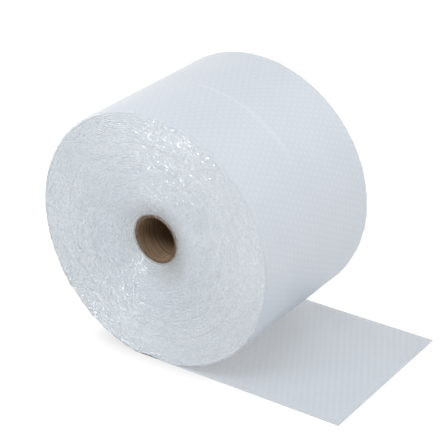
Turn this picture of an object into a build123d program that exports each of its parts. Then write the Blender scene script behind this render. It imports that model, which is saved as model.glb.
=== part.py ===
from build123d import *
import math
import os

# A roll of bubble wrap lying on its side, with the free end of the web run out flat on the floor.
#
# Frame, in millimetres: +Z is up, the roll's axis lies along Y at half the web's width,
# and +X points the way that the free end runs. The origin is on the floor, below the axis.

# ---- Driving dimensions ----

# The web: two films with air bubbles between them, slit to 12 inches.
web_width = 305.0
web_thickness = 4.8
turn_pitch = 3.1  # one turn to the next, as the bubbles nest and flatten

# The wound roll.
roll_radius = 227.3
roll_sag = 6.0  # how far the soft roll settles into its flat spot
rim_round = 4.0  # the outer edge of each end, where the turns' edges fold over
rim_margin = 0.5  # keeps the rounding clear of a tangent meeting with the outermost turn

# The paper core, of the usual 3 inch bore.
core_bore_radius = 38.1
core_wall = 4.8
core_recess = 14.0  # from the web's edge to the end of the core

# The dish in each end, where the first turns are drawn in towards the core.
dish_width = 40.0  # from the core outwards
dish_depth = 13.5

# The free end, measured from the roll's axis to the cut.
tail_reach = 358.0

# ---- Sizes that follow ----

half_width = web_width / 2
axis_height = roll_radius - roll_sag
flat_half_length = math.sqrt(roll_radius**2 - axis_height**2)
core_radius = core_bore_radius + core_wall
core_length = web_width - 2 * core_recess
dish_radius = core_radius + dish_width
quarter_growth = turn_pitch / 4  # what the spiral gains in each quarter of a turn
ground = Plane.XY


def spiral_outline():
    """The outermost turn, seen along the axis: four quarter arcs, each a little larger.

    It starts under the roll, where the free end has just left it, and comes back under
    the roll one turn_pitch lower. The short step that closes it lies below the floor.
    """
    first_radius = roll_radius - 3 * quarter_growth
    outline = Curve()
    centre = Vector(0, quarter_growth)
    for quarter in range(4):
        radius = first_radius + quarter * quarter_growth
        start = -90 + 90 * quarter
        outline += CenterArc(centre, radius, start, 90)
        towards_joint = Vector(1, 0).rotate(Axis.Z, start + 90)
        centre = centre - towards_joint * quarter_growth
    step = Line(outline.edges()[-1] @ 1, outline.edges()[0] @ 0)
    return make_face(outline + step)


def end_profile():
    """Half of the roll's section along the axis, from the core outwards, with both ends."""
    dish_floor = half_width - dish_depth
    rim_start = roll_radius + rim_margin - rim_round
    outside = roll_radius + rim_round
    dish = TangentArc((dish_radius, half_width), (core_radius, dish_floor), tangent=(-1, 0))
    face = Line((dish_radius, half_width), (rim_start, half_width))
    rim = RadiusArc(
        (rim_start, half_width), (rim_start + rim_round, half_width - rim_round), rim_round
    )
    shoulder = Polyline(
        rim @ 1,
        (outside, half_width - rim_round),
        (outside, 0),
        (core_radius, 0),
        (core_radius, dish_floor),
    )
    half = make_face(dish + face + rim + shoulder)
    return half + mirror(half, about=Plane.XZ)


def wound_turns():
    """The roll of turns, settled on the floor."""
    turns = extrude(Plane.XZ * spiral_outline(), half_width, both=True)
    shaped = turns & revolve(end_profile(), Axis.Y)
    return split(Pos(0, 0, axis_height) * shaped, bisect_by=ground, keep=Keep.TOP)


def free_end():
    """The outermost turn where it lies on the floor, from the flat spot to the cut."""
    length = flat_half_length + tail_reach
    slab = Box(length, web_width, web_thickness, align=(Align.MIN, Align.CENTER, Align.MIN))
    return Pos(-flat_half_length, 0, 0) * slab


def bubble_wrap():
    """The whole web, which is one piece: its turns and its free end."""
    web = wound_turns() + free_end()
    bore = Cylinder(core_radius, web_width, rotation=(90, 0, 0))
    return web - Pos(0, 0, axis_height) * bore


def core_tube():
    """The paper tube that the web is wound on, a little shorter than the web is wide."""
    tube = Cylinder(core_radius, core_length) - Cylinder(core_bore_radius, core_length)
    return Pos(0, 0, axis_height) * Rot(90, 0, 0) * tube


os.makedirs("parts", exist_ok=True)
export_step(core_tube(), "parts/core_tube.step")
export_step(bubble_wrap(), "parts/bubble_wrap.step")

wound_area = math.pi * (roll_radius**2 - core_radius**2)
print("turns", round((roll_radius - core_radius) / turn_pitch))
print("length of web, m", round(wound_area / turn_pitch / 1000, 1))
print("flat spot, mm", round(2 * flat_half_length, 1))
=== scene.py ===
# %% [markdown]
# # A roll of bubble wrap on a paper core
#
# The web is two clear films with air bubbles between them, wound some sixty turns on a paper
# tube, with its free end run out on the floor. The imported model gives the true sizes. This
# notebook gives the roll its looks: the smooth outer film, the crinkled edges of the turns on
# both end faces, the bubbles of the free end, and the brown board of the core.

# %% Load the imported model
import math
import bmesh
import bpy
from mathutils import Matrix, Vector, noise


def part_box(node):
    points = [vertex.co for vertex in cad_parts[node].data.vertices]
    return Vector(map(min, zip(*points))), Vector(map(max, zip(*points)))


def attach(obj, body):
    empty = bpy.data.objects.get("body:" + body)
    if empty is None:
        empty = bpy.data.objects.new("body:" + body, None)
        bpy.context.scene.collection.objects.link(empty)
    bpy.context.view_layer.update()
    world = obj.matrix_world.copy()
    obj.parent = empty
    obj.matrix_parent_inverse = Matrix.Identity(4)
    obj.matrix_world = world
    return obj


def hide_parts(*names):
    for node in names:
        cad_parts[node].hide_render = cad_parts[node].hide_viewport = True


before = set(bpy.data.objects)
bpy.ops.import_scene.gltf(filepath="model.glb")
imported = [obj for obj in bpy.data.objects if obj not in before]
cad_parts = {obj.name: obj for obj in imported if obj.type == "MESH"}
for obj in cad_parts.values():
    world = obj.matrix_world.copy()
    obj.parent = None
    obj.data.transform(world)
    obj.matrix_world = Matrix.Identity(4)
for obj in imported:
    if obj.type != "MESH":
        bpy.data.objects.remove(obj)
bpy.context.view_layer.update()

# %% [markdown]
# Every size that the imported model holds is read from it, so that the looks stay on the part.
# The core gives the axis and the radius that the first turn lies on. The web gives the width,
# the outermost turn and the reach of the free end. The outermost turn is a spiral in four
# quarters, so by the top of the roll it has come in by a quarter of the space between turns,
# which gives that space. All lengths are in metres.

# %% Read the sizes
web_low, web_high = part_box("bubble_wrap")
core_low, core_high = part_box("core_tube")
half_width = web_high.y
tail_reach = web_high.x
roll_radius = -web_low.x
axis_height = (core_low.z + core_high.z) / 2
core_radius = core_high.x
core_end = core_high.y
turn_pitch = 4 * (axis_height + roll_radius - web_high.z)
turns = (roll_radius - core_radius) / turn_pitch
print(f"{turns:.0f} turns, {turn_pitch * 1000:.2f} mm apart, on a roll {2 * roll_radius:.3f} m across")

# %% [markdown]
# The rest are sizes of the web itself, which is sold by them: the bubbles are 10 mm across in
# rows that run along the web, each row half a step on from the next, so six neighbours stand
# round every bubble at the same distance.

# %% Sizes of the web
mm = 0.001
film_thickness = 0.15 * mm
web_thickness = 4.8 * mm
bubble_pitch = 12.2 * mm
row_gap = bubble_pitch * math.sqrt(3) / 2
bubble_radius = 5 * mm
bubble_height = 4.2 * mm
rows = 28
first_row = -(rows - 1) / 2 * row_gap
print(f"{rows} rows of bubbles, {row_gap / mm:.2f} mm apart")

# %% [markdown]
# ## Small tools
#
# A piece is shaped in a bmesh and then made an object. Each piece rides on the part's one body and
# stands for the plain solid of the web. One helper does all of that, so that no piece can miss a step.

# %% Make a finished piece
def finished(bm, name, material, smooth=True):
    """The bmesh as an object that replaces the plain web."""
    mesh = bpy.data.meshes.new(name)
    bm.to_mesh(mesh)
    bm.free()
    mesh.polygons.foreach_set("use_smooth", [smooth] * len(mesh.polygons))
    mesh.materials.append(material)
    piece = bpy.data.objects.new(name, mesh)
    bpy.context.scene.collection.objects.link(piece)
    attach(piece, "root")
    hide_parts("bubble_wrap")
    print(name, sum(len(face.vertices) - 2 for face in mesh.polygons), "triangles")
    return piece


# %% [markdown]
# Film is never quite even. Smooth noise moves points by a little over a chosen length, and a
# value drawn for each bubble makes every one crumple in its own way. A random number generator
# would do as well, but these two give the same result each time the notebook runs, whatever
# order the points come in.

# %% Unevenness
def wave(place, scale, amount, layer=0.0):
    """Smooth unevenness: up to about amount, over lengths of scale."""
    return amount * noise.noise(Vector(place) / scale + Vector((layer, layer, layer)))


def lot(number, layer=0.0):
    """A value from 0 to 1 that belongs to this whole number: late digits of a large sine."""
    return abs(math.sin(number * 12.9898 + layer * 78.233) * 43758.5453) % 1.0


def ease(x, low, high):
    """0 below low, 1 above high, and a smooth rise between them."""
    t = min(max((x - low) / (high - low), 0.0), 1.0)
    return t * t * (3 - 2 * t)


print("the first three lots:", [round(lot(number), 3) for number in (1, 2, 3)])

# %% [markdown]
# ## Finishes
#
# A finish is a small network of shader nodes. It could be wired by hand in the shader editor.
# Here one helper adds a node, sets its options and joins its inputs, so that each finish below
# reads as a list of what is done to the surface.

# %% Add a shader node
def add(tree, kind, inputs, **options):
    """A new node's outputs. An input is given another node's output, or a plain value."""
    node = tree.nodes.new("ShaderNode" + kind)
    for option, value in options.items():
        setattr(node, option, value)
    for socket, value in inputs.items():
        if isinstance(value, bpy.types.NodeSocket):
            tree.links.new(value, node.inputs[socket])
        else:
            node.inputs[socket].default_value = value
    return node.outputs


def finish(name, **plain):
    """A new material: its node tree and its shader, with its plain values set."""
    material = bpy.data.materials.new(name)
    material.use_nodes = True
    shader = material.node_tree.nodes["Principled BSDF"]
    for socket, value in plain.items():
        shader.inputs[socket.replace("_", " ")].default_value = value
    return material, material.node_tree, shader.inputs


print("plain values are set on the shader's own sockets, and only changing ones are joined")

# %% [markdown]
# Four more helpers stand for the nodes that every finish uses: sums, a range, a mix of two
# colours, and noise.

# %% Sums, ranges, mixes and noise
def sums(tree, operation, *values):
    """The result of one Math node."""
    return add(tree, "Math", dict(enumerate(values)), operation=operation)[0]


def spread(tree, value, low, high, to_low=0.0, to_high=1.0):
    """A value between low and high, taken to the range from to_low to to_high."""
    numbers = dict(enumerate((value, low, high, to_low, to_high)))
    return add(tree, "MapRange", numbers, interpolation_type="SMOOTHSTEP")[0]


def blend(tree, share, first, second):
    """Two colours mixed: all first where share is 0, all second where it is 1."""
    return add(tree, "Mix", {0: share, 6: first, 7: second}, data_type="RGBA")[2]


def grain(tree, place, scale, detail=2.0):
    """Noise of about this many lumps in a metre."""
    return add(tree, "TexNoise", {"Vector": place, "Scale": scale, "Detail": detail})["Fac"]


print("a range that runs from high to low turns its value round")

# %% [markdown]
# The bubbles stand behind both the outer turn's film and the free end's, so their pattern is a
# node group that both finishes use. It reads the web's own map, in metres along the web and
# across it. A texture of spots at random places wouldn't do, because the bubbles stand in exact
# rows. One Wrap node finds the nearest bubble of every second row and another that of the rows
# between. The group gives out two masks: the round bubble, and the sealed ring where it meets
# the film.

# %% The pattern of bubbles
def group_of(name, inputs, outputs):
    """An empty node group, with its input and output sockets."""
    tree = bpy.data.node_groups.new(name, "ShaderNodeTree")
    for socket, kind in inputs.items():
        tree.interface.new_socket(socket, in_out="INPUT", socket_type="NodeSocket" + kind)
    for socket in outputs:
        tree.interface.new_socket(socket, in_out="OUTPUT", socket_type="NodeSocketFloat")
    return tree, tree.nodes.new("NodeGroupInput").outputs, tree.nodes.new("NodeGroupOutput").inputs


bubble_rows, given, gives = group_of("bubble rows", {"Web": "Vector"}, ["Bubble", "Seal"])
bubble_shoulder = 1.5 * mm
seal_width = 1.0 * mm
half_cell = Vector((bubble_pitch / 2, row_gap, 1))
nearest = []
for shift in (Vector(), Vector((bubble_pitch / 2, row_gap, 0))):
    moved = add(bubble_rows, "VectorMath", {0: given["Web"], 1: shift}, operation="ADD")[0]
    limits = {0: moved, 1: half_cell, 2: -half_cell}
    wrapped = add(bubble_rows, "VectorMath", limits, operation="WRAP")[0]
    nearest.append(add(bubble_rows, "VectorMath", {0: wrapped}, operation="LENGTH")["Value"])
distance = sums(bubble_rows, "MINIMUM", *nearest)
bubble = spread(bubble_rows, distance, bubble_radius, bubble_radius - bubble_shoulder)
off_seal = sums(bubble_rows, "ABSOLUTE", sums(bubble_rows, "SUBTRACT", distance, bubble_radius))
seal = spread(bubble_rows, off_seal, seal_width, 0.0)
bubble_rows.links.new(bubble, gives["Bubble"])
bubble_rows.links.new(seal, gives["Seal"])
print("bubble rows:", len(bubble_rows.nodes), "nodes")

# %% [markdown]
# The outer turn has one crease, near the top of the roll. Its thin line of bent film catches more
# light, so a paler line is painted along it as a highlight. The painted highlight would otherwise run
# round the rest of the roll, so its ends fade out, by the angle that the web has turned from the
# floor. The same place and angles shape the crease itself, further on.

# %% The crease's painted highlight
crease_at = -10 * mm
crease_starts = (2.1, 2.4)
crease_ends = (2.95, 3.3)


def crease_highlight(tree, web):
    """A painted highlight along the crease, near the top of the roll only."""
    along, across = add(tree, "SeparateXYZ", {0: web})[:2]
    off_line = sums(tree, "ABSOLUTE", sums(tree, "SUBTRACT", across, crease_at - first_row))
    line = spread(tree, off_line, 1.4 * mm, 0.4 * mm)
    started = spread(tree, along, crease_starts[0] * roll_radius, crease_starts[1] * roll_radius)
    ended = spread(tree, along, crease_ends[1] * roll_radius, crease_ends[0] * roll_radius)
    return sums(tree, "MULTIPLY", line, sums(tree, "MULTIPLY", started, ended))


crease_length = (crease_ends[1] - crease_starts[0]) * roll_radius
print(f"the crease is {crease_length:.2f} m long with its faded ends")

# %% [markdown]
# Clear film laid many times over on air looks milky, with a cold tint, and the bubbles behind
# show as paler discs. It could be real clear sheets, one behind another, but a ray would have to
# pass dozens of them. One milky surface looks the same. The film is glossy but never flat, so a
# bump from fine noise and from the seals breaks its shine. The free end is a single layer, so it
# is the same finish with a bluer tone that lets the floor through.

# %% The film of the outer turn and of the free end
def film(name, strength, between, over_bubble, **plain):
    """A film of two near tones, which shows the bubbles with this strength."""
    material, tree, shader = finish(name, **plain)
    web = add(tree, "UVMap", {}, uv_map="web")[0]
    rows_of = add(tree, "Group", {"Web": web}, node_tree=bubble_rows)
    cloud = grain(tree, web, 14, 3)
    fine = grain(tree, web, 260, 4)
    share = sums(tree, "MULTIPLY", rows_of["Bubble"], strength)
    share = sums(tree, "MULTIPLY_ADD", cloud, 0.5, share)
    toned = blend(tree, share, between, over_bubble)
    # the crease's painted highlight: the tone is mixed towards near white along the crease
    creased = sums(tree, "MULTIPLY", crease_highlight(tree, web), 0.9)
    tree.links.new(blend(tree, creased, toned, (0.95, 0.97, 1.0, 1)), shader["Base Color"])
    tree.links.new(spread(tree, fine, 0.3, 0.7, 0.28, 0.46), shader["Roughness"])
    height = sums(tree, "MULTIPLY_ADD", rows_of["Seal"], -0.5, fine)
    bump = add(tree, "Bump", {"Height": height, "Strength": 0.25, "Distance": 0.2 * mm})[0]
    tree.links.new(bump, shader["Normal"])
    print(name, len(tree.nodes), "nodes")
    return material


outer_film = film("outer_film", 0.5, (0.745, 0.80, 0.865, 1), (0.80, 0.85, 0.905, 1))
free_film = film("free_film", 0.06, (0.62, 0.73, 0.85, 1), (0.66, 0.77, 0.89, 1), Alpha=0.39)

# %% [markdown]
# A free bubble's skin and the scraps of film at the core are one layer each and let light
# through. Glass would need many more bounces of light for little gain, so both are a thin
# coloured film with a strong gloss and an alpha below 1. The bubbles' alpha is so low that only
# their outlines and their shine show.

# %% The skin of the bubbles, and the torn film round the core
def thin_film(name, dark, light, **plain):
    """One clear layer, a little uneven in tone and in gloss."""
    material, tree, shader = finish(name, Specular_IOR_Level=1.0, **plain)
    uneven = grain(tree, add(tree, "TexCoord", {})["Object"], 300)
    tree.links.new(blend(tree, uneven, dark, light), shader["Base Color"])
    tree.links.new(spread(tree, uneven, 0.3, 0.7, 0.08, 0.22), shader["Roughness"])
    print(name, len(tree.nodes), "nodes")
    return material


bubble_skin = thin_film("bubble_skin", (0.66, 0.77, 0.88, 1), (0.74, 0.83, 0.92, 1), Alpha=0.04)
torn_film = thin_film("torn_film", (0.42, 0.41, 0.38, 1), (0.70, 0.70, 0.67, 1), Alpha=0.55)

# %% [markdown]
# The two end faces and the paper core both run round the axis, so a second node group turns
# the place on a piece into its radius and its angle round the axis, which is 0 towards the side
# that the free end runs out on.

# %% Round the axis
round_axis, given, gives = group_of("round the axis", {"Place": "Vector"}, ["Radius", "Angle"])
off_axis = {0: given["Place"], 1: (0, 0, -axis_height)}
centred = add(round_axis, "VectorMath", off_axis, operation="ADD")[0]
parts = add(round_axis, "SeparateXYZ", {0: centred})
flat_place = add(round_axis, "CombineXYZ", {0: parts[0], 2: parts[2]})[0]
radius_out = add(round_axis, "VectorMath", {0: flat_place}, operation="LENGTH")["Value"]
round_axis.links.new(radius_out, gives["Radius"])
round_axis.links.new(sums(round_axis, "ARCTAN2", parts[2], parts[0]), gives["Angle"])
print("round the axis:", len(round_axis.nodes), "nodes")

# %% [markdown]
# The cut edges of some sixty turns make the end face. Each edge is crumpled film, paler than the
# smooth film because so many layers scatter the light, and glossy enough to glint. The shapes of
# the edges are real strips, made further on, so the finish only has to give their tone and their
# gloss. Noise drawn out round the axis tells the turns apart, finer noise gives the crumples,
# and the tone grows paler towards the rim. A glossy clear coat gives the glints.

# %% The crumpled edges
edge_film, tree, shader = finish("edge_film", Specular_IOR_Level=1.0, Coat_Weight=1.0,
                                 Coat_Roughness=0.16, Coat_IOR=1.9)
place = add(tree, "TexCoord", {})["Object"]
polar = add(tree, "Group", {"Place": place}, node_tree=round_axis)
along = sums(tree, "MULTIPLY", polar["Angle"], 0.05)
stretched = add(tree, "CombineXYZ", {0: polar["Radius"], 1: along})[0]
rings = grain(tree, stretched, 90, 3)
lumps = grain(tree, place, 500, 3)
share = spread(tree, sums(tree, "MULTIPLY_ADD", lumps, 0.25, rings), 0.38, 0.88)
outer = spread(tree, polar["Radius"], 0.35 * roll_radius, 0.95 * roll_radius, -0.6, 0.8)
share = add(tree, "Math", {0: share, 1: outer}, operation="ADD", use_clamp=True)[0]
colour = blend(tree, share, (0.77, 0.835, 0.90, 1), (0.865, 0.925, 0.98, 1))
tree.links.new(spread(tree, lumps, 0.3, 0.7, 0.10, 0.30), shader["Roughness"])
bump = add(tree, "Bump", {"Height": lumps, "Strength": 0.3, "Distance": 0.4 * mm})[0]
tree.links.new(bump, shader["Normal"])
print("edge film:", len(tree.nodes), "nodes so far")

# %% [markdown]
# The roll was not wound quite evenly. At two places a turn lies tighter than its neighbours and
# looks denser, with a paler one just inside it. Whole rings would look drawn with a compass, so
# coarse noise lets them through in patches only.

# %% Tighter turns
tight_rings = (0.62, 0.76)
patches = spread(tree, grain(tree, place, 9), 0.47, 0.60)
for ring in tight_rings:
    off_ring = sums(tree, "ABSOLUTE", sums(tree, "SUBTRACT", polar["Radius"], ring * roll_radius))
    dense = sums(tree, "MULTIPLY", spread(tree, off_ring, 2.2 * mm, 0.0, 0.0, 0.5), patches)
    colour = blend(tree, dense, colour, (0.70, 0.745, 0.80, 1))
    inside = sums(tree, "SUBTRACT", ring * roll_radius - 4 * mm, polar["Radius"])
    bright = spread(tree, sums(tree, "ABSOLUTE", inside), 2.0 * mm, 0.0, 0.0, 0.6)
    bright = sums(tree, "MULTIPLY", bright, patches)
    colour = blend(tree, bright, colour, (0.96, 0.98, 1.0, 1))
print("tighter turns at", [round(ring * roll_radius, 3) for ring in tight_rings], "m from the axis")

# %% [markdown]
# Near the core the turns lie looser, in the dish that the winding leaves, and less light comes back
# out from between them, so shade is painted there: a dark grey mixed into the edges' colour. The
# painted shade is strongest on the side where the dish's wall faces away from the light, and weak on
# the side across from it.

# %% Painted shade by the core
# the side where the dish's wall is in shade, as an angle round the axis
shaded_side = math.radians(5)
near_core_shade = spread(tree, polar["Radius"], 0.40 * roll_radius, core_radius, 0.0, 0.95)
turned = sums(tree, "COSINE", sums(tree, "SUBTRACT", polar["Angle"], shaded_side))
painted_dish_shade = sums(tree, "MULTIPLY", near_core_shade, spread(tree, turned, -0.6, 0.9, 0.15, 1.0))
# painted shade: the dark grey is mixed in by the core, most on the shaded side
tree.links.new(blend(tree, painted_dish_shade, colour, (0.36, 0.385, 0.40, 1)), shader["Base Color"])
print("edge film:", len(tree.nodes), "nodes in all")

# %% [markdown]
# The core is brown board, wound from strips of paper at a slant. The strips' joints run round
# it as a spiral, and fibres show as fine streaks beside them. A slant is the place along the
# axis plus a step for every turn round it, and a Wrap node repeats it from strip to strip. Noise
# drawn out along the slant makes the streaks.

# %% The board of the core: strips and streaks
core_board, tree, shader = finish("core_board", Roughness=0.85)
place = add(tree, "TexCoord", {})["Object"]
polar = add(tree, "Group", {"Place": place}, node_tree=round_axis)
depth = add(tree, "SeparateXYZ", {0: place})[1]
strip_width = 62 * mm
joint_width = 1.6 * mm
slant = sums(tree, "MULTIPLY_ADD", polar["Angle"], strip_width / math.tau, depth)
within = sums(tree, "WRAP", slant, strip_width / 2, -strip_width / 2)
joint = spread(tree, sums(tree, "ABSOLUTE", within), joint_width, 0.0)
streak_place = add(tree, "CombineXYZ", {0: sums(tree, "MULTIPLY", slant, 9), 1: depth})[0]
streaks = grain(tree, streak_place, 60, 4)
fibres = grain(tree, place, 900, 3)
tone = sums(tree, "MULTIPLY_ADD", streaks, 0.7, sums(tree, "MULTIPLY", fibres, 0.3))
print(f"strips of board {strip_width / mm:.0f} mm wide")

# %% [markdown]
# The streaks mix two browns, the joints are darker, and so is the board in a thin ring at each end of
# the core.

# %% The board of the core: colour and bump
brown, light_brown = (0.21, 0.130, 0.070, 1), (0.43, 0.315, 0.21, 1)
board_colour = blend(tree, spread(tree, tone, 0.3, 0.7), brown, light_brown)
joint_share = sums(tree, "MULTIPLY", joint, 0.6)
board_colour = blend(tree, joint_share, board_colour, (0.12, 0.075, 0.045, 1))
from_middle = sums(tree, "ABSOLUTE", depth)
end = spread(tree, from_middle, core_end - 0.4 * mm, core_end - 0.1 * mm, 0.0, 0.6)
board_colour = blend(tree, end, board_colour, (0.07, 0.042, 0.024, 1))
tree.links.new(board_colour, shader["Base Color"])
height = sums(tree, "MULTIPLY_ADD", joint, -1.0, fibres)
bump = add(tree, "Bump", {"Height": height, "Strength": 0.4, "Distance": 0.4 * mm})[0]
tree.links.new(bump, shader["Normal"])
print("core board:", len(tree.nodes), "nodes")

# %% [markdown]
# ## Where the web lies
#
# The web is one long spiral. An angle counted along it, which is a full circle at the point
# where the free end leaves the roll and less further in, gives the radius and the place. On the
# floor the roll's weight flattens the turns.

# %% The spiral
radius_per_angle = turn_pitch / math.tau
first_angle = math.tau * (1 - turns)
web_length = (core_radius + roll_radius) / 2 * (math.tau - first_angle)


def wound_radius(angle):
    """The radius of the web at this angle."""
    return roll_radius - radius_per_angle * (math.tau - angle)


def angle_after(length):
    """The angle that this length of web, counted from the core, has reached."""
    grown = math.sqrt(core_radius ** 2 + 2 * radius_per_angle * length)
    return first_angle + (grown - core_radius) / radius_per_angle


def outwards(angle):
    """The direction away from the axis at this angle, which is 0 straight down."""
    return Vector((math.sin(angle), 0, -math.cos(angle)))


def set_down(point, floor):
    """The point, but not lower than the floor under it."""
    point.z = max(point.z, floor)
    return point


print(f"{web_length:.1f} m of web on the roll")

# %% [markdown]
# The ends of the roll aren't flat. Winding pulls the web in at the core, which leaves a dish
# round it, and the outermost turns round the rim over. One function gives the height of the end
# face at each radius, and every piece of the two ends asks it.

# %% The end face
rim_round = 3.2 * mm
dish_width = 40 * mm
dish_depth = 13.5 * mm


def end_height(radius):
    """How far the web's edge stands along the axis at this radius: dish, flat, rounded rim."""
    height = half_width
    dish = 1 - (radius - core_radius) / dish_width
    if dish > 0:
        height -= dish_depth * dish ** 2
    past = radius - (roll_radius - rim_round)
    if past > 0:
        height -= rim_round - math.sqrt(max(rim_round ** 2 - past ** 2, 0))
    return height


print("end height at the core, half-way and the rim:",
      [round(end_height(radius), 4) for radius in (core_radius, roll_radius / 2, roll_radius)])

# %% [markdown]
# ## The outer turn
#
# Seen from outside, the roll is one smooth film. It swells a little over each bubble behind it,
# one crease runs round it near the top, and at both ends it curls in over the rim, where it is
# crumpled. A plain cylinder with a bump map would keep a hard, straight outline. Here a grid is
# laid round the roll instead: its steps along the web and across it are short enough to carry
# the bubbles, so the pattern is in the shape and not only in the material.

# %% The swell over each bubble
def bubble_swell(along, across):
    """1 over the middle of a bubble, and about -0.5 midway between three of them."""
    turn = math.tau * along / bubble_pitch
    row = math.pi * (across - first_row) / row_gap
    return (2 * math.cos(turn) * math.cos(row) + math.cos(2 * row)) / 3


print("swell over a bubble and beside it:",
      [round(bubble_swell(along, first_row), 2) for along in (0, bubble_pitch / 2)])

# %% The shape of the outer turn
turn_steps, flat_steps, curl_steps = 586, 138, 4
flat_half = half_width - rim_round
curl_angle = math.radians(78)
swell = 0.10 * mm
crease_width = 2.4 * mm
crease_height = 0.7 * mm
dent, dent_length = 0.5 * mm, 70 * mm
rim_crumple, rim_crumple_length = 0.9 * mm, 9 * mm
rim_crumple_reach = 22 * mm
curl_dent, curl_dent_length = 0.9 * mm, 5 * mm
curl_shift, curl_shift_length = 1.1 * mm, 6 * mm
even_by_floor = (0.05, 0.4)


def outer_place(angle, column):
    """The place of a point of the outer turn: its angle, and its column across the web."""
    middle = curl_steps + flat_steps / 2
    side = 1 if column > middle else -1
    past = abs(column - middle) - flat_steps / 2
    across, inwards, curl = side * flat_half, 0.0, 0.0
    if past > 0:
        curl = past / curl_steps
        across += side * rim_round * math.sin(curl * curl_angle)
        inwards = rim_round * (1 - math.cos(curl * curl_angle))
    else:
        across *= abs(column - middle) / (flat_steps / 2)
    along = roll_radius * angle
    place = (along, across, 0)
    near_rim = ease(abs(across), half_width - rim_crumple_reach, half_width)
    height = swell * bubble_swell(along, across) * (1 - curl)
    crumpled = wave(place, rim_crumple_length, rim_crumple * near_rim, 3)
    height += wave(place, dent_length, dent) + crumpled
    creased = ease(angle, *crease_starts) * (1 - ease(angle, *crease_ends))
    from_crease = (across - crease_at) / crease_width
    height += creased * crease_height * from_crease * math.exp(-from_crease ** 2)
    held_down = 1 - ease(min(angle, math.tau - angle), *even_by_floor)
    radius = wound_radius(angle) - inwards + height * (1 - held_down)
    radius += curl * wave(place, curl_dent_length, curl_dent, 8)
    point = outwards(angle) * radius + Vector((0, across, axis_height))
    point.y += side * curl * wave(place, curl_shift_length, curl_shift, 5)
    return set_down(point, web_thickness if angle < math.pi else film_thickness)


print(f"a step is {math.tau * roll_radius / turn_steps / mm:.2f} mm along the web,",
      f"{2 * flat_half / flat_steps / mm:.2f} mm across it")

# %% [markdown]
# The grid starts flat. Each point's place in it gives an angle and a column, and those give the
# point's place on the roll. The web's own map is written first, while the grid is still flat: it
# holds the metres along the web and across it, counted from the first row of bubbles.

# %% Lay the outer turn
bm = bmesh.new()
columns = flat_steps + 2 * curl_steps
bmesh.ops.create_grid(bm, x_segments=turn_steps, y_segments=columns, size=1)
web_map = bm.loops.layers.uv.new("web")
for face in bm.faces:
    for loop in face.loops:
        angle = math.tau * ((loop.vert.co.x + 1) / 2)
        column = (loop.vert.co.y + 1) / 2 * columns
        loop[web_map].uv = (roll_radius * angle, outer_place(angle, column).y - first_row)
for v in bm.verts:
    v.co = outer_place(math.tau * (v.co.x + 1) / 2, (v.co.y + 1) / 2 * columns)
bmesh.ops.reverse_faces(bm, faces=bm.faces)
finished(bm, "outer_turn", outer_film)

# %% [markdown]
# ## The free end
#
# The free end has been pulled out and lies flat on the floor. The side that is outermost on the
# roll turns down there, so the smooth film is underneath and the bubbles stand up. It is a flat
# sheet, so it needs no cloth simulation: a grid from under the axis to the straight cut, with a
# Solidify modifier that gives it the film's thickness down to the floor.

# %% The free end's film
bm = bmesh.new()
bmesh.ops.create_grid(bm, x_segments=60, y_segments=60, size=1)
web_map = bm.loops.layers.uv.new("web")
for v in bm.verts:
    v.co = (tail_reach * (v.co.x + 1) / 2, half_width * v.co.y, film_thickness)
for face in bm.faces:
    for loop in face.loops:
        loop[web_map].uv = (loop.vert.co.x, loop.vert.co.y - first_row)
free_end = finished(bm, "free_end_film", free_film)
solid = free_end.modifiers.new("film", "SOLIDIFY")
solid.thickness = film_thickness
solid.offset = -1

# %% [markdown]
# A bubble is a dome of thin film on a round seal, steep at the foot and flat at the top. It
# starts as a circle, whose edge is pulled up and drawn in three times, and its top is closed
# with a fan of faces. It has a few dozen faces only, because it is repeated more than six hundred
# times.

# %% One bubble
def dome():
    """One bubble, as high as it can be, with its seal round the origin."""
    bm = bmesh.new()
    bmesh.ops.create_circle(bm, cap_ends=False, segments=12, radius=bubble_radius)
    ring = list(bm.edges)
    for shrink, lift in ((0.93, 0.46), (0.70, 0.36), (0.42, 0.14)):
        grown = bmesh.ops.extrude_edge_only(bm, edges=ring)["geom"]
        points = [g for g in grown if isinstance(g, bmesh.types.BMVert)]
        ring = [g for g in grown if isinstance(g, bmesh.types.BMEdge)]
        bmesh.ops.scale(bm, vec=(shrink, shrink, 1), verts=points)
        bmesh.ops.translate(bm, vec=(0, 0, lift * bubble_height), verts=points)
    bmesh.ops.contextual_create(bm, geom=ring)
    bmesh.ops.poke(bm, faces=[f for f in bm.faces if len(f.verts) > 4])
    for v in bm.verts:
        if v.co.xy.length < 0.1 * mm:
            v.co.z = bubble_height
    bmesh.ops.recalc_face_normals(bm, faces=bm.faces)
    return bm


one = dome()
print("one bubble has", len(one.faces), "faces")
one_mesh = bpy.data.meshes.new("one_bubble")
one.to_mesh(one_mesh)
one.free()

# %% [markdown]
# The bubbles stand in their rows from just under the roll to the cut. An array modifier would
# make them all alike, so each is copied in on its own: some have lost air and stand lower, the
# more so near a cut edge, and each one's top leans a little its own way. The cut goes through
# the last of them, as the knife did.

# %% The free end's bubbles
first_x = 62 * mm
lean = 1.6 * mm
above_film = film_thickness + 0.02 * mm
bm = bmesh.new()
for row in range(rows):
    y = (row - (rows - 1) / 2) * row_gap
    for step in range(math.ceil(first_x / bubble_pitch), int(tail_reach / bubble_pitch) + 2):
        x = (step + 0.5 * (row % 2)) * bubble_pitch
        if x - bubble_radius > tail_reach:
            continue
        before = len(bm.verts)
        bm.from_mesh(one_mesh)
        bm.verts.ensure_lookup_table()
        key = row * 101 + step
        edge = min(tail_reach - x, half_width - abs(y))
        high = (0.35 + 0.65 * ease(edge, 4 * mm, 22 * mm)) * (0.82 + 0.18 * lot(key))
        tip = Vector(((lot(key, 1) - 0.5) * lean, (lot(key, 2) - 0.5) * lean))
        for v in bm.verts[before:]:
            v.co.xy += tip * v.co.z / bubble_height
            v.co.z = v.co.z * high + above_film
            v.co.xy += Vector((x, y))
everything = list(bm.verts) + list(bm.edges) + list(bm.faces)
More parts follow.
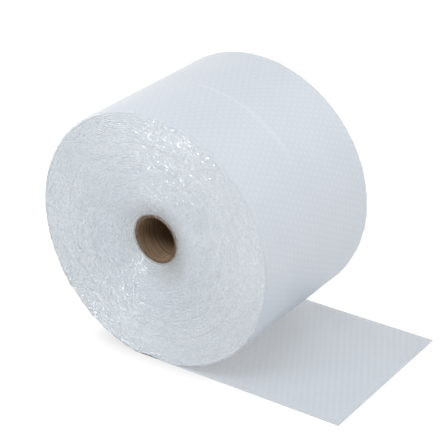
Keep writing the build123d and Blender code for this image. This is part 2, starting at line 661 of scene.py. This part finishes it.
bmesh.ops.bisect_plane(bm, geom=everything, plane_co=(tail_reach - 0.2 * mm, 0, 0),
                       plane_no=(1, 0, 0), clear_outer=True)
web_map = bm.loops.layers.uv.new("web")
for face in bm.faces:
    for loop in face.loops:
        loop[web_map].uv = (loop.vert.co.x, loop.vert.co.y - first_row)
free_bubbles = finished(bm, "free_end_bubbles", bubble_skin)
bpy.data.meshes.remove(one_mesh)

# %% [markdown]
# The film and its bubbles are one sheet, cut to the web's width and lying on the floor.

print(f"the free end is {2 * half_width:.3f} by {tail_reach:.3f} m")

# %% [markdown]
# ## The end faces
#
# Between the turns' edges one looks a few millimetres into the roll, onto more film. Sixty full
# turns of film would cost much and show nothing more, so a body closes the view just behind the
# edges. It is a profile of the end face, spun round the axis, and pressed flat on the floor as
# the roll is.

# %% The body behind the edges
behind_edges = 2.2 * mm
profile_step = 3 * mm
over_floor = 1 * mm


def end_body(side, name):
    """The film behind the turns' edges on one end, out to just inside the outer turn."""
    bm = bmesh.new()
    profile = [bm.verts.new((core_radius, side * (core_end - 3 * mm), axis_height))]
    radius = core_radius
    while radius < roll_radius - turn_pitch - 3 * mm:
        height = end_height(radius) - behind_edges
        profile.append(bm.verts.new((radius, side * height, axis_height)))
        radius += profile_step
    edges = [bm.edges.new(pair) for pair in zip(profile, profile[1:])]
    bmesh.ops.spin(bm, geom=profile + edges, cent=(0, 0, axis_height), axis=(0, 1, 0),
                   angle=math.tau, steps=240, use_merge=True)
    for v in bm.verts:
        set_down(v.co, over_floor)
    bmesh.ops.remove_doubles(bm, verts=bm.verts, dist=1e-6)
    bmesh.ops.recalc_face_normals(bm, faces=bm.faces)
    finished(bm, name, edge_film)


end_body(-1, "near_end_body")
end_body(1, "far_end_body")

# %% [markdown]
# At the end of the roll the web's edge stands free: the bubbles there were cut through or lost
# their air, and the film has crumpled along the whole spiral. Rings with a bump would stay too
# round. Instead a narrow grid, some fifty metres long, follows the web from the core to the
# outer turn, and every point of it is moved by noise and by its own lot.
#
# Along each bubble the edge bows in by an amount of its own. It stands a little higher towards
# the rim than by the core, but just inside the outer turn it is held down, so that the rim's
# outline stays clean.

# %% A strip along the spiral
uneven_step = 0.8
loosened = 0.15
under_outer_turn = 1.6 * mm


def turn_edges(side, name, steps, section, crumple, scallop, layer=0.0, smooth=True):
    """A strip along the whole spiral. section gives each row's (outward, upward) place."""
    bm = bmesh.new()
    rows_across = len(section) - 1
    bmesh.ops.create_grid(bm, x_segments=steps, y_segments=rows_across, size=1)
    for v in bm.verts:
        row = round((v.co.y + 1) / 2 * rows_across)
        step = round((v.co.x + 1) / 2 * steps)
        length = web_length * (step + uneven_step * (lot(step * 7 + row, layer) - 0.5)) / steps
        angle = angle_after(max(length, 0))
        radius = wound_radius(angle)
        count = length / bubble_pitch
        bubble, phase = int(count), count % 1.0
        out, up = section[row]
        share = 1 + wave((length, row, 0), 9 * mm, 0.5 * crumple, layer)
        share += 0.9 * crumple * (lot(step * 13 + row, layer) - 0.5)
        share *= 1 + loosened * (ease(radius, 0.4 * roll_radius, 0.95 * roll_radius) - 0.5)
        radius -= scallop * math.sin(math.pi * phase) * lot(bubble, layer + 1)
        radius += out + crumple * 1.0 * mm * (lot(step * 5 + row, layer + 2) - 0.5)
        outermost = wound_radius(angle % math.tau) - under_outer_turn
        radius = min(max(radius, core_radius + 0.3 * mm), outermost)
        # free is 0 just inside the outer turn, and 1 from 5 mm further in
        free = ease(outermost - radius, 0.5 * mm, 5.0 * mm)
        # the foot is 1.2 mm under the end face by the outer turn, and 2.2 mm further in
        height = end_height(radius) - (1.2 + free) * mm + up * share
        # the top is 0.6 mm under it by the outer turn, and 1.1 mm over it further in
        height = min(height, end_height(radius) + (1.7 * free - 0.6) * mm)
        point = outwards(angle) * radius + Vector((0, side * height, axis_height))
        v.co = set_down(point, over_floor)
    if side < 0:
        bmesh.ops.reverse_faces(bm, faces=bm.faces)
    finished(bm, name, edge_film, smooth)


print(f"the strips run {web_length:.1f} m, from {core_radius:.3f} to {roll_radius:.3f} m")

# %% [markdown]
# Each end gets two strips. One is the flank of the crumpled bubbles: flat faces, which glint one
# by one as creased film does. The other is the thin lip of film between two turns, smooth and
# nearly straight. The far end is drawn with other lots than the near one.

# %% Turn edges
flank = [(-1.4 * mm, 0.5 * mm), (-0.7 * mm, 1.5 * mm), (0.9 * mm, 0.9 * mm), (2.0 * mm, 0.1 * mm)]
lip = [(0.9 * mm, 0), (1.25 * mm, 1.3 * mm), (1.6 * mm, 0)]
flank_steps = round(web_length / (2.1 * mm))
lip_steps = 25000
flank_scallop = 1.2 * mm
turn_edges(-1, "near_bubble_edges", flank_steps, flank, 0.9, flank_scallop, smooth=False)
turn_edges(-1, "near_film_edges", lip_steps, lip, 0.3, 0.0, 5.0)
turn_edges(1, "far_bubble_edges", flank_steps, flank, 0.9, flank_scallop, 9.0, smooth=False)
turn_edges(1, "far_film_edges", lip_steps, lip, 0.3, 0.0, 14.0)

# %% [markdown]
# The first turns are never cut quite clean, and scraps of their film stand over the core's end.
# A narrow ring of film does for them: its inner edge is drawn in by a different amount at each
# step, so that it looks torn. Most steps are drawn in by little and a few by much, which is what
# the fourth power of a lot gives.

# %% Torn film round the core
def torn_ring(side, name):
    """A ragged ring of film over the end of the core."""
    bm = bmesh.new()
    steps = 160
    bmesh.ops.create_grid(bm, x_segments=steps, y_segments=2, size=1)
    for v in bm.verts:
        row, step = round(v.co.y + 1), round((v.co.x + 1) / 2 * steps) % steps
        reach = (2.8 * lot(step, 30) ** 4 - 0.4) * mm
        stands = 0.2 * mm + 1.2 * mm * lot(step, 31)
        radius = core_radius + (2.4 * mm, 0.4 * mm, -reach)[row]
        height = half_width - dish_depth + (1.6 * mm, 1.2 * mm, stands)[row]
        v.co = outwards(math.tau * step / steps) * radius + Vector((0, side * height, axis_height))
    bmesh.ops.remove_doubles(bm, verts=bm.verts, dist=1e-6)
    if side > 0:
        bmesh.ops.reverse_faces(bm, faces=bm.faces)
    finished(bm, name, torn_film, smooth=False)


torn_ring(-1, "near_torn_ring")
torn_ring(1, "far_torn_ring")

# %% [markdown]
# ## The core
#
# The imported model's tube already has the core's true shape, so it stays as it is. Only its
# finish changes, to the board.

# %% Core
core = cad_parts["core_tube"]
core.data.materials.clear()
core.data.materials.append(core_board)
print("core:", len(core.data.polygons), "faces, now of", core.data.materials[0].name)

# %% [markdown]
# ## The studio
#
# The roll stands on a plain pale floor that runs out of sight. To the eye, and in reflections,
# the floor is an even white with a soft shadow where the roll touches it, which an Ambient
# Occlusion node finds. To all other light it is a plain pale matt surface, so that it throws
# light up onto the roll as a real floor does.

# %% Floor
bm = bmesh.new()
bmesh.ops.create_grid(bm, x_segments=1, y_segments=1, size=30)
floor_mesh = bpy.data.meshes.new("studio_floor")
bm.to_mesh(floor_mesh)
bm.free()
floor = bpy.data.objects.new("studio_floor", floor_mesh)
bpy.context.scene.collection.objects.link(floor)
white = (1, 1, 1, 1)
pale_grey = (0.85, 0.85, 0.85, 1)
floor_paint, tree, shader = finish("floor_paint", Base_Color=pale_grey, Specular_IOR_Level=0.0)
openness = add(tree, "AmbientOcclusion", {"Distance": 45 * mm}, samples=8)["AO"]
whiteness = spread(tree, openness, 0.35, 0.95, 0.80, 1.03)
seen = add(tree, "Emission", {"Color": white, "Strength": whiteness})[0]
path = add(tree, "LightPath", {})
looked_at = sums(tree, "MAXIMUM", path["Is Camera Ray"], path["Is Glossy Ray"])
unseen = tree.nodes["Principled BSDF"].outputs[0]
either = add(tree, "MixShader", {0: looked_at, 1: unseen, 2: seen})[0]
tree.links.new(either, tree.nodes["Material Output"].inputs["Surface"])
floor_mesh.materials.append(floor_paint)
print("floor paint:", len(tree.nodes), "nodes")

# %% [markdown]
# The world is the studio's walls. The eye sees them white. Glossy film reflects them a little
# darker. They give no other light, so that only the softboxes and the floor light the roll. The
# Standard view keeps white as white.

# %% Studio walls
seen_walls = 1.05
reflected_walls = 0.75
scene = bpy.context.scene
scene.view_settings.view_transform = "Standard"
world = bpy.data.worlds.new("studio")
scene.world = world
world.use_nodes = True
tree = world.node_tree
path = add(tree, "LightPath", {})
behind = sums(tree, "MULTIPLY", path["Is Camera Ray"], seen_walls)
glow = sums(tree, "MULTIPLY_ADD", path["Is Glossy Ray"], reflected_walls, behind)
tree.nodes["Background"].inputs["Color"].default_value = white
tree.links.new(glow, tree.nodes["Background"].inputs["Strength"])
print("walls:", seen_walls, "seen and", reflected_walls, "reflected")

# %% [markdown]
# White goods are lit from all round with large soft lights, so that no shadow is hard. One
# softbox, above and in front of the near end face, is the only one that shows in reflections: it
# gives the crumpled film its glints, and the others only fill, aimed at the middle of the roll.
# Powers are in watts.

# %% Softboxes
roll_middle = (0, 0, 0.2)
face_middle = (0, -0.15, 0.22)


def softbox(name, place, size_x, size_y, power, aim=roll_middle, glints=False):
    """A large soft light at a place, turned to its aim."""
    lamp = bpy.data.lights.new(name, "AREA")
    lamp.shape = "RECTANGLE"
    lamp.size = size_x
    lamp.size_y = size_y
    lamp.energy = power
    light = bpy.data.objects.new(name, lamp)
    light.location = place
    light.visible_glossy = glints
    light.rotation_euler = (Vector(aim) - Vector(place)).to_track_quat("-Z", "Y").to_euler()
    bpy.context.scene.collection.objects.link(light)


softbox("glint_softbox", (0.25, -1.4, 2.27), 1.5, 0.8, 26.4, aim=face_middle, glints=True)
softbox("overhead_softbox", (0, 0.1, 2.4), 2.4, 2.0, 6.9)
softbox("front_left_softbox", (-1.6, -2.2, 1.3), 1.6, 1.6, 13.3)
softbox("low_left_softbox", (-2.5, -1.3, 0.9), 1.4, 1.2, 22)
softbox("right_softbox", (2.8, 0, 1.2), 1.6, 1.6, 26)
softbox("left_softbox", (-2.6, 0.2, 1.2), 1.6, 1.6, 17.7)
softbox("back_softbox", (0.5, 2.6, 1.4), 2.0, 1.6, 45)
print(len(bpy.data.lights), "softboxes,", round(sum(lamp.energy for lamp in bpy.data.lights), 1), "W")

# %% [markdown]
# The camera looks down on the near end face and the free end, from the right and from far off
# through a long lens, so that the far end of the roll looks only a little smaller than the near
# one. It leans by nearly two degrees, as a camera held in the hand does. Its place is counted
# from the origin, in a unit about as long as the roll's radius: back along the view, to the
# right and up.

# %% Camera
view_unit = 0.22648
back, aside, raised = 12.0616, 0.0763, 0.7756
azimuth = math.radians(36.47)
elevation = math.radians(26.89)
tilt = math.radians(-1.78)
forward = Vector((-math.sin(azimuth) * math.cos(elevation), math.cos(azimuth) * math.cos(elevation),
                  -math.sin(elevation)))
right = Vector((math.cos(azimuth), math.sin(azimuth), 0))
up = right.cross(forward)
right_t = right * math.cos(tilt) + up * math.sin(tilt)
up_t = -right * math.sin(tilt) + up * math.cos(tilt)
camera = bpy.data.objects.new("camera", bpy.data.cameras.new("camera"))
camera.data.lens = 127.6
camera.data.sensor_width = 36
camera.matrix_world = Matrix((right_t, up_t, -forward)).transposed().to_4x4()
camera.location = -forward * back * view_unit + right_t * aside * view_unit + up_t * raised * view_unit
scene.collection.objects.link(camera)
scene.camera = camera
print("camera at", [round(side, 3) for side in camera.location])
